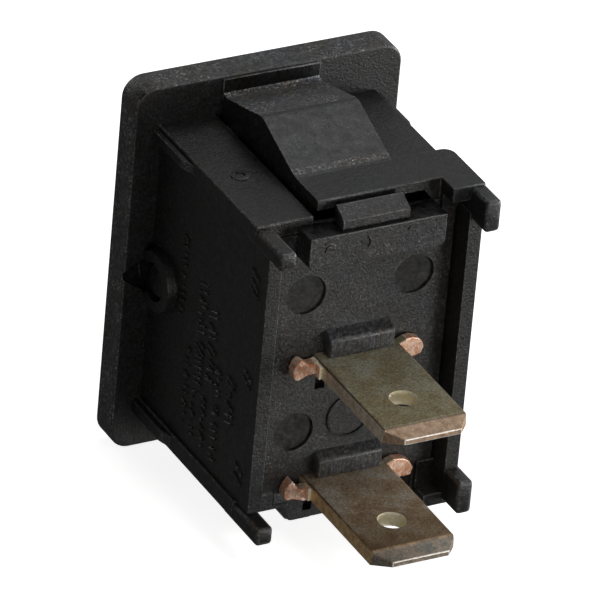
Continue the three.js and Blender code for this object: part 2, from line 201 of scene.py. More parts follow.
def round_edges(bm, round_by, segments=2, least=25):
    """Rounds every edge whose faces turn by more than least degrees."""
    if round_by <= 0:
        return
    sharp = [e for e in bm.edges if e.is_manifold and e.calc_face_angle(0) > math.radians(least)]
    bmesh.ops.bevel(
        bm, geom=sharp, offset=round_by, offset_type="OFFSET", segments=segments, profile=0.5,
        affect="EDGES", clamp_overlap=True)


def block(x, y, z, round_by=0.0, segments=2):
    outline = [(x[0], y[0]), (x[1], y[0]), (x[1], y[1]), (x[0], y[1])]
    return prism(outline, "z", z[0], z[1], round_by, segments)


def circle(cu, cv, radius, count=48):
    step = 2 * math.pi / count
    return [(cu + radius * math.cos(i * step), cv + radius * math.sin(i * step)) for i in range(count)]


def arc(cu, cv, radius, start, end, count=6):
    """Points on an arc from start to end degrees."""
    angles = [math.radians(start + (end - start) * i / count) for i in range(count + 1)]
    return [(cu + radius * math.cos(a), cv + radius * math.sin(a)) for a in angles]


def rounded_box(half_u, half_v, radius, count=8):
    points = []
    for side_u, side_v, start in ((1, 1, 0), (-1, 1, 90), (-1, -1, 180), (1, -1, 270)):
        centre_u, centre_v = side_u * (half_u - radius), side_v * (half_v - radius)
        points += arc(centre_u, centre_v, radius, start, start + 90, count)
    return points


def modified(thing):
    """Bakes the object's modifiers into its mesh."""
    graph = bpy.context.evaluated_depsgraph_get()
    mesh = bpy.data.meshes.new_from_object(thing.evaluated_get(graph))
    thing.modifiers.clear()
    old = thing.data
    thing.data = mesh
    bpy.data.meshes.remove(old)
    return thing


def boolean(base, tools, operation):
    """Joins the tools to the base, or cuts them from it, all at once."""
    group = bpy.data.collections.new("tools")
    for tool in tools:
        for home in list(tool.users_collection):
            home.objects.unlink(tool)
        group.objects.link(tool)
    bpy.context.scene.collection.children.link(group)
    step = base.modifiers.new("boolean", "BOOLEAN")
    step.operation = operation
    step.solver = "EXACT"
    step.operand_type = "COLLECTION"
    step.collection = group
    modified(base)
    for tool in list(tools):
        bpy.data.objects.remove(tool)
    bpy.data.collections.remove(group)
    return base


def mirrored(thing):
    """The same part on the other side of z = 0."""
    bm = bmesh.new()
    bm.from_mesh(thing.data)
    bmesh.ops.scale(bm, vec=(1, 1, -1), verts=bm.verts[:])
    bmesh.ops.reverse_faces(bm, faces=bm.faces[:])
    bm.to_mesh(thing.data)
    bm.free()
    return thing


def shaded(thing, angle=32):
    """Smooth over soft edges, crisp at sharp ones, and flat across large faces."""
    for face in thing.data.polygons:
        face.use_smooth = True
    thing.data.set_sharp_from_angle(angle=math.radians(angle))
    weigh = thing.modifiers.new("normals", "WEIGHTED_NORMAL")
    weigh.mode = "FACE_AREA"
    weigh.weight = 100
    weigh.keep_sharp = True
    return modified(thing)


def softened(thing, width, keep, segments=3, angle=28):
    """Rounds the sharp edges, except those whose middle, in millimetres, keep() says to leave."""
    bm = bmesh.new()
    bm.from_mesh(thing.data)
    bmesh.ops.remove_doubles(bm, verts=bm.verts[:], dist=0.002 * MM)
    bmesh.ops.dissolve_limit(bm, angle_limit=math.radians(1.5), verts=bm.verts[:], edges=bm.edges[:])
    weight = bm.edges.layers.float.new("bevel_weight_edge")
    for edge in bm.edges:
        middle = (edge.verts[0].co + edge.verts[1].co) / (2 * MM)
        sharp = edge.is_manifold and edge.calc_face_angle(0) > math.radians(angle)
        edge[weight] = 1.0 if sharp and not keep(middle) else 0.0
    bm.to_mesh(thing.data)
    bm.free()
    step = thing.modifiers.new("bevel", "BEVEL")
    step.width = width * MM
    step.segments = segments
    step.limit_method = "WEIGHT"
    step.use_clamp_overlap = False
    return shaded(modified(thing))


def paint(thing, finishes, finish_of):
    """Gives each face the finish that finish_of() picks for it, the first being on already."""
    for finish in finishes[1:]:
        thing.data.materials.append(finish)
    for face in thing.data.polygons:
        face.material_index = finish_of(face)


def node_copy(name):
    """A new object with the same mesh as a CAD node, to be worked on."""
    thing = bpy.data.objects.new(name + "_look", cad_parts[name].data.copy())
    thing.data.materials.clear()
    bpy.context.collection.objects.link(thing)
    return thing


def adopt(thing, name, body, material, slot, *nodes):
    """Makes the thing a visible piece that rides a body and stands for those CAD nodes."""
    thing.name = name
    thing.data.name = name
    thing.data.materials.clear()
    thing.data.materials.append(material)
    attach(thing, body)
    if nodes:
        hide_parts(*nodes)
    return thing


# ---------------------------------------------------------------- materials

class Nodes:
    """A few shorthands for building a material's node tree."""

    def __init__(self, name):
        self.material = bpy.data.materials.new(name)
        self.material.use_nodes = True
        self.tree = self.material.node_tree
        self.shader = self.tree.nodes["Principled BSDF"]
        self.coords = self.tree.nodes.new("ShaderNodeTexCoord").outputs["Object"]

    def link(self, source, target):
        self.tree.links.new(source, target)

    def noise(self, size, detail=3.0, rough=0.55, stretch=(1.0, 1.0, 1.0)):
        """Noise whose features are about size millimetres across."""
        mapping = self.tree.nodes.new("ShaderNodeMapping")
        mapping.inputs["Scale"].default_value = stretch
        self.link(self.coords, mapping.inputs["Vector"])
        noise = self.tree.nodes.new("ShaderNodeTexNoise")
        noise.inputs["Scale"].default_value = 1.0 / (size * MM)
        noise.inputs["Detail"].default_value = detail
        noise.inputs["Roughness"].default_value = rough
        self.link(mapping.outputs["Vector"], noise.inputs["Vector"])
        return noise.outputs["Fac"]

    def ramp(self, source, stops):
        ramp = self.tree.nodes.new("ShaderNodeValToRGB")
        elements = ramp.color_ramp.elements
        while len(elements) < len(stops):
            elements.new(0.5)
        for element, (place, color) in zip(elements, stops):
            element.position = place
            value = color if isinstance(color, tuple) else (color, color, color)
            element.color = (*value, 1.0)
        self.link(source, ramp.inputs["Fac"])
        return ramp.outputs["Color"]

    def mix(self, factor, a, b, blend="MIX"):
        mix = self.tree.nodes.new("ShaderNodeMix")
        mix.data_type = "RGBA"
        mix.blend_type = blend
        for value, socket in ((factor, mix.inputs[0]), (a, mix.inputs[6]), (b, mix.inputs[7])):
            if hasattr(value, "is_linked"):
                self.link(value, socket)
            elif isinstance(value, tuple):
                socket.default_value = (*value, 1.0)
            else:
                socket.default_value = value
        return mix.outputs[2]

    def bump(self, source, height, strength=1.0, under=None):
        bump = self.tree.nodes.new("ShaderNodeBump")
        bump.inputs["Strength"].default_value = strength
        bump.inputs["Distance"].default_value = height * MM
        self.link(source, bump.inputs["Height"])
        if under is not None:
            self.link(under, bump.inputs["Normal"])
        return bump.outputs["Normal"]

    def along(self, start, end, first, last):
        """A shade going from first to last between two Y positions in millimetres."""
        split = self.tree.nodes.new("ShaderNodeSeparateXYZ")
        self.link(self.coords, split.inputs["Vector"])
        place = self.tree.nodes.new("ShaderNodeMapRange")
        place.inputs["From Min"].default_value = start * MM
        place.inputs["From Max"].default_value = end * MM
        self.link(split.outputs["Y"], place.inputs["Value"])
        return self.ramp(place.outputs["Result"], [(0.0, first), (1.0, last)])


def nylon(name, tone, roughness, grain=0.03, speck=0.6, sheen=0.6, combed=False):
    """Black glass-filled nylon: fine moulded grain, faint warm and cool clouds, and patches of pale specks
    painted in as sparkle highlights.
    """
    n = Nodes(name)
    warm = (tone * 0.95, tone * 0.84, tone * 0.70)
    cool = (tone * 1.02, tone * 1.06, tone * 1.2)
    cloud = n.ramp(n.noise(2.2, 4.0, 0.6), [(0.36, warm), (0.5, (tone, tone, tone)), (0.64, cool)])
    mottle = n.ramp(n.noise(0.2, 4.0, 0.75), [(0.36, 0.3), (0.5, 1.0), (0.64, 2.6)])
    color = n.mix(1.0, cloud, mottle, "MULTIPLY")
    rough_patch = n.ramp(n.noise(1.5, 3.0, 0.6), [(0.46, 0.15), (0.6, 1.0)])
    # painted highlight: the pale specks below stand for light sparkling on the grain; speck sets how strong
    # they are
    specks = n.ramp(n.noise(0.12, 2.0, 0.6), [(0.57, 0.0), (0.66, speck)])
    specks = n.mix(1.0, specks, rough_patch, "MULTIPLY")
    color = n.mix(specks, color, (tone * 9.0, tone * 9.0, tone * 8.6))
    n.link(color, n.shader.inputs["Base Color"])
    rough = n.ramp(n.noise(0.5, 3.0), [(0.3, roughness - 0.09), (0.7, roughness + 0.09)])
    n.link(rough, n.shader.inputs["Roughness"])
    n.shader.inputs["Specular IOR Level"].default_value = sheen
    fine = n.bump(n.noise(0.14, 3.0, 0.65), grain)
    if combed:
        fine = n.bump(n.noise(0.11, 1.0, 0.5, (1.0, 1.0, 0.06)), 0.03, 1.0, fine)
    n.link(n.bump(n.noise(0.9, 2.0), 0.015, 0.6, fine), n.shader.inputs["Normal"])
    return n.material


def tarnished(name, low, middle, high, far):
    """Old plated brass: three mottled tones, golden patches, speckle and a faint rolled grain.

    far darkens the end away from the switch, a painted shade for how the light falls off along the blade."""
    n = Nodes(name)
    base = n.ramp(n.noise(1.6, 6.0, 0.7), [(0.38, low), (0.5, middle), (0.6, high)])
    gold = n.ramp(n.noise(0.42, 5.0, 0.7), [(0.56, 0.0), (0.72, 0.7)])
    color = n.mix(gold, base, (0.58, 0.42, 0.19))
    grain = n.ramp(n.noise(0.12, 4.0, 0.7), [(0.3, 0.5), (0.5, 1.0), (0.7, 1.55)])
    color = n.mix(1.0, color, grain, "MULTIPLY")
    speck = n.ramp(n.noise(0.13, 2.0, 0.6), [(0.66, 0.0), (0.72, 0.85)])
    color = n.mix(speck, color, (0.90, 0.84, 0.66))
    dirt = n.ramp(n.noise(0.16, 3.0, 0.6), [(0.3, 0.75), (0.37, 0.0)])
    color = n.mix(dirt, color, (0.06, 0.05, 0.035))
    # painted shade: darker towards the tip, for how the light falls off along the blade
    color = n.mix(1.0, color, n.along(11.5, 17.5, (1.0, 1.0, 1.0), far), "MULTIPLY")
    n.link(color, n.shader.inputs["Base Color"])
    n.shader.inputs["Metallic"].default_value = 0.35
    n.link(n.ramp(n.noise(0.4, 4.0), [(0.3, 0.45), (0.7, 0.68)]), n.shader.inputs["Roughness"])
    streaks = n.bump(n.noise(0.25, 3.0, 0.6, (1.0, 0.12, 1.0)), 0.006)
    n.link(n.bump(n.noise(0.12, 3.0, 0.6), 0.012, 1.0, streaks), n.shader.inputs["Normal"])
    return n.material


def cut_metal(name, color, shade, roughness=0.42, metallic=0.5):
    """Bare metal on a sheared face: coarse drag marks, patches of two tones and some pale scratches."""
    n = Nodes(name)
    drag = n.noise(0.13, 4.0, 0.65, (1.0, 1.0, 0.5))
    patch = n.ramp(n.noise(0.4, 5.0, 0.65), [(0.38, shade), (0.6, color)])
    pale = tuple(min(1.0, c * 1.7) for c in color)
    mixed = n.mix(n.ramp(drag, [(0.54, 0.0), (0.7, 0.8)]), patch, pale)
    dark = n.ramp(n.noise(0.16, 3.0, 0.6), [(0.3, 0.6), (0.4, 0.0)])
    n.link(n.mix(dark, mixed, tuple(c * 0.35 for c in shade)), n.shader.inputs["Base Color"])
    n.shader.inputs["Metallic"].default_value = metallic
    n.link(n.ramp(drag, [(0.3, roughness - 0.08), (0.7, roughness + 0.12)]), n.shader.inputs["Roughness"])
    n.link(n.bump(drag, 0.02), n.shader.inputs["Normal"])
    return n.material


def bare_metal(name, color, roughness):
    """Rolled or drawn metal with faint streaks."""
    n = Nodes(name)
    streaks = n.noise(0.3, 3.0, 0.5, (1.0, 1.0, 0.15))
    dull = tuple(c * 0.8 for c in color)
    n.link(n.ramp(streaks, [(0.3, dull), (0.7, color)]), n.shader.inputs["Base Color"])
    n.shader.inputs["Metallic"].default_value = 1.0
    n.link(n.ramp(streaks, [(0.3, roughness), (0.7, roughness + 0.15)]), n.shader.inputs["Roughness"])
    n.link(n.bump(streaks, 0.006), n.shader.inputs["Normal"])
    return n.material


# ---------------------------------------------------------------- the housing

# |Z| values are for the upper end; the lower end is its mirror image unless given apart.
BEZEL = {"half_x": 7.5, "half_z": 10.5, "thick": 1.73, "corner": 1.1}
OPENING = {"half_x": 5.1, "half_z": 7.5, "corner": 0.35}
WALL = {"inner": 5.2, "outer": 5.97, "half_z": 7.6, "front": -0.3, "rear": 11.9}
END = {"outer_x": 6.15, "inner": 7.52, "right": 8.03, "rear": 10.65, "right_rear": 8.4, "slot": 2.95}
PIVOT = {"y": 1.25, "hole": 1.05, "ring": 1.62, "foot": 1.76, "root": 5.5, "face": 6.48}
GROOVE = {"wide": 1.15, "wide_x": 6.1, "fine": 0.12, "fine_x": 7.7, "y": 0.12, "z": -0.2}

# The two ends differ a little: |Z| of the bridge, its left end, the post, the left wall and both horns.
UPPER = {
    "bridge": 9.05, "left": [(2.7, 7.4), (2.7, 9.05)], "post": 8.2, "wall": 8.35,
    "horn_left": (7.2, 8.15), "horn_right": (7.15, 8.92),
}
LOWER = {
    "bridge": 9.58, "left": [(3.5, 7.4), (3.5, 8.6), (3.3, 8.95), (2.95, 9.4), (2.6, 9.58)],
    "post": 8.85, "wall": 8.54, "horn_left": (7.68, 8.68), "horn_right": (7.42, 9.3),
}

# The latch tongue's profile as (y, |z|); the ramp's points give their share of its fall to the bridge.
TONGUE_HALF = 2.7
SLOPE = [(0.1, 9.66), (0.22, 9.52), (0.55, 9.5), (1.0, 9.62), (2.0, 9.88), (3.0, 10.14)]
CREST = [(3.45, 10.26), (3.75, 10.36), (4.0, 10.41), (4.25, 10.41), (4.5, 10.34), (4.8, 10.22)]
RAMP = [(5.4, 0.93), (6.2, 0.63), (7.0, 0.33), (7.5, 0.16), (7.9, 0.04)]
RAMP_FALL = 1.17
TONGUE_ROOT = [(10.45, 7.4), (8.2, 7.4), (8.0, 8.0), (0.15, 8.0)]

# The bridge: its step at the right, and how far its middle and left parts reach in X.
BRIDGE = {
    "right": -6.05, "front": 7.93, "rear": 10.45, "corner": 0.6, "step_x": -4.22, "step": 0.3,
    "middle_x": -2.5, "left_x": 1.5, "under": 7.4, "post_deep": 0.6, "post_rear": 11.7,
}

# The pad that the tongue rests against at the bezel, the horns, and the locating pads' plan.
REST = {"x": (-2.75, 2.75), "y": (-0.4, 0.15), "z": (9.2, 10.34)}
HORN_LEFT = {"x": (5.2, 6.12), "y": (9.6, 13.3)}
HORN_RIGHT = {"x": (-6.12, -5.28), "y": (9.6, 13.32)}
PAD = [(5.6, -0.2), (6.45, -0.2), (6.45, 3.1), (6.38, 3.35), (6.2, 3.9), (6.13, 4.3), (5.6, 4.3)]
PAD_LOW, PAD_DROP = 7.64, 0.22

# Raised strokes on the left wall: rows as (y, height, first z, last z), and single ones as (y, z).
MARK_ROWS = [
    (3.3, 0.45, 3.9, -0.9), (4.3, 0.5, -1.9, -6.7), (5.3, 0.85, 2.2, -3.6), (5.2, 0.5, -4.1, -6.9),
    (6.5, 0.85, 1.3, -2.9), (6.3, 0.5, -3.8, -6.9), (7.5, 0.6, -1.4, -6.8), (8.8, 0.8, -1.2, -3.9),
]
MARKS = [(10.3, 5.9), (10.3, 5.3), (10.3, 4.9), (10.4, 0.1), (10.3, -0.3), (10.2, -5.4), (10.2, -6.0)]
MARK = {"sunk": 0.1, "proud": 0.11, "thick": 0.13, "lean": 0.3, "tall": 0.8, "slant": 0.4}

# Openings at the rear, as an outline in X and Z or as X and Z ranges.
UPPER_WINDOW = [(2.95, 7.0), (2.95, 8.5), (-3.3, 8.5), (-4.15, 7.45), (-4.15, 7.0)]
LOWER_WINDOW = {"x": (-2.45, 2.45), "z": (-7.69, -6.5)}
LOWER_NOTCH = {"x": (1.5, 2.0), "z": (-9.1, -8.55)}
SCORES = [((3.82, 3.86), (-8.28, -7.3)), ((1.9, 3.86), (-8.28, -8.24))]
GATE = {"x": 4.6, "y": 5.85, "radius": 0.5, "dimple": 0.26, "low": 8.2, "floor": 8.34, "top": 8.42}


def make_bezel():
    outline = rounded_box(BEZEL["half_x"], BEZEL["half_z"], BEZEL["corner"])
    bezel = prism(outline, "y", -BEZEL["thick"], 0.0, round_by=0.14, segments=3)
    opening = rounded_box(OPENING["half_x"], OPENING["half_z"], OPENING["corner"])
    return boolean(bezel, [prism(opening, "y", -4, 4)], "DIFFERENCE")


def tongue(foot):
    """One sprung latch tongue: grained slope at the bezel, rounded crest, smooth ramp down to its foot."""
    fall = (CREST[-1][1] - foot) / RAMP_FALL
    ramp = [(y, foot + fall * share) for y, share in RAMP]
    rear = [(8.2, foot), (10.38, foot), (10.45, foot - 0.07)] + TONGUE_ROOT
    return prism(SLOPE + CREST + ramp + rear, "x", -TONGUE_HALF, TONGUE_HALF, round_by=0.04)


def bridge(end):
    """The thick bridge behind the tongue, with its right front corner rounded and its post at the right."""
    right, front, rear, corner = BRIDGE["right"], BRIDGE["front"], BRIDGE["rear"], BRIDGE["corner"]
    step_x, step_rear, middle = BRIDGE["step_x"], rear + BRIDGE["step"], BRIDGE["middle_x"]
    outline = [(middle, front), (middle, rear), (step_x, rear), (step_x, step_rear), (right, step_rear)]
    outline += arc(right + corner, front + corner, corner, 180, 270)
    parts = [prism(outline, "z", END["inner"] - 0.15, end["bridge"], round_by=0.07)]
    post_y = (rear - BRIDGE["post_deep"], BRIDGE["post_rear"])
    parts.append(block((right, step_x), post_y, (end["post"], end["bridge"]), round_by=0.07))
    left = [(BRIDGE["left_x"], BRIDGE["under"])] + end["left"] + [(BRIDGE["left_x"], end["bridge"])]
    parts.append(prism(left, "y", front, rear, round_by=0.07))
    return parts


def locating_pads(end):
    """The pads on both sides of an end wall, next to the bezel, tapering off backwards."""
    pads = []
    for sign, tall in ((1, end["wall"]), (-1, END["right"])):
        plan = [(sign * x, y) for x, y in PAD]
        pads.append(prism(plan, "z", PAD_LOW, tall - PAD_DROP, round_by=0.05))
    return pads


def end_pieces(end):
    """The walls, tongue, bridge, horns and pads at one end."""
    side, slot, inner = END["outer_x"], END["slot"], END["inner"]
    front = WALL["front"]
    left = block((slot, side), (front, END["rear"]), (inner, end["wall"]), round_by=0.09, segments=3)
    right = block((-side, -slot), (front, END["right_rear"]), (inner, END["right"]), round_by=0.06)
    ledge = block((-side + 0.1, 5.6), (9.0, 10.6), (inner - 0.05, 7.9), round_by=0.04)
    rest = block(REST["x"], REST["y"], REST["z"], round_by=0.06)
    parts = [left, right, ledge, tongue(end["bridge"]), rest] + bridge(end)
    parts.append(block(HORN_LEFT["x"], HORN_LEFT["y"], end["horn_left"], round_by=0.2, segments=3))
    parts.append(block(HORN_RIGHT["x"], HORN_RIGHT["y"], end["horn_right"], round_by=0.2, segments=3))
    return parts + locating_pads(end)


def cone(x0, radius0, x1, radius1, y, z, count=48):
    """A tapered round bar along X."""
    bm = bmesh.new()
    rings = []
    for x, radius in ((x0, radius0), (x1, radius1)):
        rings.append([bm.verts.new((x, v, w)) for v, w in circle(y, z, radius, count)])
        bm.faces.new(rings[-1])
    for i in range(count):
        j = (i + 1) % count
        bm.faces.new((rings[0][i], rings[0][j], rings[1][j], rings[1][i]))
    bmesh.ops.recalc_face_normals(bm, faces=bm.faces[:])
    round_edges(bm, 0.05, 3, 40)
    return new_object("part", scaled(bm))


def side_wall(sign):
    """A side wall with a slightly rounded rear edge, and its tapered pivot boss."""
    x = sorted((sign * WALL["inner"], sign * WALL["outer"]))
    wall = block(x, (WALL["front"], WALL["rear"]), (-WALL["half_z"], WALL["half_z"]), round_by=0.05)
    boss = cone(sign * PIVOT["root"], PIVOT["foot"], sign * PIVOT["face"], PIVOT["ring"], PIVOT["y"], 0.0)
    return [wall, boss]


def stroke(y0, z0, y1, z1):
    """A thin raised stroke on the left wall, between two points of its upper edge."""
    thick = MARK["thick"]
    outline = [(y0, z0), (y1, z1), (y1, z1 - thick), (y0, z0 - thick)]
    low, high = WALL["outer"] - MARK["sunk"], WALL["outer"] + MARK["proud"]
    return prism(outline, "x", low, high, round_by=0.03, segments=1)


def raised_marks():
    """Small raised strokes in rows on the left wall, as on a rating panel; they spell nothing.

    A short recurrence varies their lean, their length and the gaps between them."""
    marks = []
    seed = 7
    for y, tall, start, end in MARK_ROWS:
        z = start
        while z > end:
            seed = (seed * 29 + 17) % 101
            lean = MARK["lean"] * tall * (1 if seed % 3 else -1)
            low = y + (0.4 * tall if seed % 4 == 0 else 0.0)
            high = y + (0.55 * tall if seed % 5 == 0 else tall)
            marks.append(stroke(low, z + lean * (low - y) / tall, high, z + lean * (high - y) / tall))
            z -= 0.26 + 0.2 * ((seed * 3) % 101 / 101)
    return marks + [stroke(y, z, y + MARK["tall"], z - MARK["slant"]) for y, z in MARKS]


GRAIN_GLINT, FOLD_HIGHLIGHT, WORN_HIGHLIT, SLEEK_SHADED = 1, 2, 3, 4
EDGE_STRIP_AREA = 0.9
# the band of the tongue's slope that gets the real grain, painted paler for the light it catches
GRAIN_GLINT_Y = (0.5, 3.9)
# bands of the tongue where its folds get a painted highlight
FOLD_HIGHLIGHT_Y = ((0.05, 0.55), (7.45, 7.95))


def is_edge_strip(face):
    """Narrow faces that round off an edge."""
    return face.area < EDGE_STRIP_AREA * MM * MM and max(abs(v) for v in face.normal) < 0.97


def on_boss(centre):
    radius = math.hypot(centre.y - PIVOT["y"], centre.z)
    return abs(centre.x) > WALL["outer"] and radius < PIVOT["foot"] + 0.1


def housing_finish(face):
    """Which finish a face of the housing has, from where it is and which way it looks."""
    centre = face.center / MM
    on_tongue = abs(centre.x) < TONGUE_HALF and abs(centre.z) > 9.0
    # painted shade: the rest pad's face above the tongue, smoother and darker for the shadow of the crest on
    # it
    if on_tongue and abs(centre.z) > 9.6 and abs(centre.y - REST["y"][1]) < 0.02:
        return SLEEK_SHADED
    # painted highlight: pale bands along the tongue's folds, at the bezel and at the ramp's foot
    if on_tongue and any(low < centre.y < high for low, high in FOLD_HIGHLIGHT_Y):
        return FOLD_HIGHLIGHT
    # the grained tongue slope and the bezel's outer faces: real grain, painted paler with pale specks for the
    # light it catches
    if on_tongue and GRAIN_GLINT_Y[0] < centre.y < GRAIN_GLINT_Y[1]:
        return GRAIN_GLINT
    if centre.y < -0.02 and (abs(centre.x) > 7.3 or abs(centre.z) > 10.3):
        return GRAIN_GLINT
    # rounded edges: painted paler, partly for wear and partly as a painted highlight along them
    if is_edge_strip(face) and centre.y > 0.0 and not on_boss(centre):
        return WORN_HIGHLIT
    return 0


def housing_cuts():
    """The pivot's hole and grooves, the windows, the gate's dimple and the fine scored lines."""
    cuts = [prism(circle(PIVOT["y"], 0.0, PIVOT["hole"]), "x", -9, 9)]
    cuts.append(prism(UPPER_WINDOW, "y", 9.2, 12))
    cuts.append(block(LOWER_WINDOW["x"], (8.8, 12), LOWER_WINDOW["z"]))
    cuts.append(block(LOWER_NOTCH["x"], (9.9, 12), LOWER_NOTCH["z"]))
    cuts.append(prism(circle(GATE["x"], GATE["y"], GATE["dimple"], 16), "z", GATE["floor"], 9))
    for x, z in SCORES:
        cuts.append(block(x, (10.55, 11), z))
    for sign in (-1, 1):
        wide_x, fine_x = sign * GROOVE["wide_x"], sign * GROOVE["fine_x"]
        cuts.append(cone(wide_x, GROOVE["wide"], fine_x, GROOVE["fine"], GROOVE["y"], GROOVE["z"]))
    return cuts


def make_housing(finishes):
    parts = side_wall(1) + side_wall(-1)
    parts += end_pieces(UPPER)
    parts += [mirrored(part) for part in end_pieces(LOWER)]
    parts += raised_marks()
    gate = circle(GATE["x"], GATE["y"], GATE["radius"], 24)
    parts.append(prism(gate, "z", GATE["low"], GATE["top"], round_by=0.05))
    housing = boolean(make_bezel(), parts, "UNION")
    housing = shaded(boolean(housing, housing_cuts(), "DIFFERENCE"))
    adopt(housing, "housing_shell", "body", finishes[0], "housing_nylon", "housing")
    paint(housing, finishes, housing_finish)


# ---------------------------------------------------------------- the base plate

PLATE = {"half_x": 5.1, "half_z": 7.45, "front": 9.65, "rear": 10.65}
TAB = {"half_x": 3.82, "top": 7.93, "corner_x": 3.5, "corner_z": 6.47, "corner": 0.32, "front": 10.4}
TAB_REAR = 12.06
WEDGE = [(10.75, 7.7), (11.71, 7.7), (11.71, 8.42), (10.83, 8.87), (10.75, 8.87)]
WEDGE_HALF = 1.87
BAR = {"x": (-1.88, 1.73), "front": 10.3, "above_blade": 0.41}
BAR_REAR = {"terminal_common": 11.36, "terminal_load": 11.2}

# Round marks left by the ejector pins, as (x, z), and a plain ring between the blades.
DISCS = ((3.0, 3.84), (-3.05, 3.84), (3.04, -4.11), (-3.04, -4.11))
DISC = {"radius": 1.1, "floor": 10.5, "edge": 1.05}
RING = {"x": -0.05, "z": -3.75, "outer": 1.25, "inner": 1.12, "top": 10.75}

# Short raised arcs on the tab that spell nothing, as x, z, radius, start and end.
CURLS = [
    (2.85, 7.1, 0.5, 70, 150), (2.5, 7.0, 0.5, 10, 80), (0.9, 7.2, 0.5, 130, 220),
    (-1.9, 7.35, 0.32, 20, 110),
]
CURL = {"wide": 0.1, "low": 12.0, "top": 12.13}
BLADE_SLOT = {"half_x": 2.45, "half_z": 0.45}
VENT = {"x": (1.5, 2.05), "y": (10.15, 12), "z": (-1.83, -0.33)}

PIN_MARK, COMBED, PLATE_WORN_HIGHLIT, PLATE_SLEEK_SHADED = 1, 2, 3, 4


def curl(x, z, radius, start, end):
    """A raised curved stroke on the rear of the end tab."""
    outline = arc(x, z, radius, start, end, 12) + arc(x, z, radius - CURL["wide"], end, start, 12)
    return prism(outline, "y", CURL["low"], CURL["top"], round_by=0.02, segments=1)


def end_tab():
    """The tab across the upper end, with its two lower corners rounded."""
    half, x, z, corner = TAB["half_x"], TAB["corner_x"], TAB["corner_z"], TAB["corner"]
    outline = [(-half, TAB["top"]), (half, TAB["top"])]
    outline += arc(x, z, corner, 0, -90, 4) + arc(-x, z, corner, -90, -180, 4)
    return prism(outline, "y", TAB["front"], TAB_REAR, round_by=0.07)


def bar(node):
    """The bar above a blade, with its upper side falling off towards the plate."""
    base = BLADES[node] + BAR["above_blade"]
    front, rear = BAR["front"], BAR_REAR[node]
    outline = [(front, base), (rear, base), (rear, base + 0.92), (rear - 0.09, base + 1.04)]
    outline += [(PLATE["rear"], base + 1.32), (front, base + 1.32)]
    return prism(outline, "x", *BAR["x"], round_by=0.07, segments=3)


def plain_ring():
    outer = circle(RING["x"], RING["z"], RING["outer"], 40)
    inner = circle(RING["x"], RING["z"], RING["inner"], 40)
    ring = prism(outer, "y", TAB["front"], RING["top"], round_by=0.02)
    return boolean(ring, [prism(inner, "y", 10, 11)], "DIFFERENCE")


def plate_finish(face):
    """Which finish a face of the plate has, from where it is and which way it looks."""
    centre = face.center / MM
    from_disc = min(math.hypot(centre.x - x, centre.z - z) for x, z in DISCS)
    if 10.45 < centre.y < 10.55 and from_disc < DISC["edge"]:
        return PIN_MARK
    # painted shade: the tab's top, smoother and darker for the shadow behind the bridge and the post
    if centre.y > 10.8 and abs(centre.z - TAB["top"]) < 0.02:
        return PLATE_SLEEK_SHADED
    if 10.75 < centre.y < 11.5 and abs(centre.x) < 1.95 and centre.z < 3:
        return PLATE_WORN_HIGHLIT if is_edge_strip(face) else COMBED
    # rounded edges: painted paler, partly for wear and partly as a painted highlight along them
    if is_edge_strip(face) and centre.y > 10.66:
        return PLATE_WORN_HIGHLIT
    return 0


def make_plate(finishes):
    """The base plate with its bars, tab, wedge, and round marks left by the ejector pins."""
    half_x, half_z = PLATE["half_x"], PLATE["half_z"]
    plate = block((-half_x, half_x), (PLATE["front"], PLATE["rear"]), (-half_z, half_z), round_by=0.05)
    parts = [end_tab(), prism(WEDGE, "x", -WEDGE_HALF, WEDGE_HALF, round_by=0.04)]
    parts += [bar(node) for node in BLADES]
    parts.append(plain_ring())
    parts += [curl(*shape) for shape in CURLS]
    plate = boolean(plate, parts, "UNION")
    cuts = [prism(circle(x, z, DISC["radius"], 40), "y", DISC["floor"], 12) for x, z in DISCS]
    for z in BLADES.values():
        slot_x, slot_z = BLADE_SLOT["half_x"], BLADE_SLOT["half_z"]
        cuts.append(block((-slot_x, slot_x), (9, 12.5), (z - slot_z, z + slot_z)))
    cuts.append(block(VENT["x"], VENT["y"], VENT["z"]))
    plate = shaded(boolean(plate, cuts, "DIFFERENCE"))
    adopt(plate, "base_plate_shell", "body", finishes[0], "plate_nylon", "base_plate")
    paint(plate, finishes, plate_finish)


# ---------------------------------------------------------------- the blades

BLADE = {
    "half_x": 2.36, "thick": 0.4, "shoulder": 18.15, "tip": 19.1, "tip_x": 1.58, "tip_thick": 0.15,
    "root": 9.4, "hole_y": 15.93, "hole": 0.75, "rolled": 0.17,
}
STEP = {"x": (2.2, 2.5), "y": (11.1, 11.75), "below": 0.45, "above": 0.3}

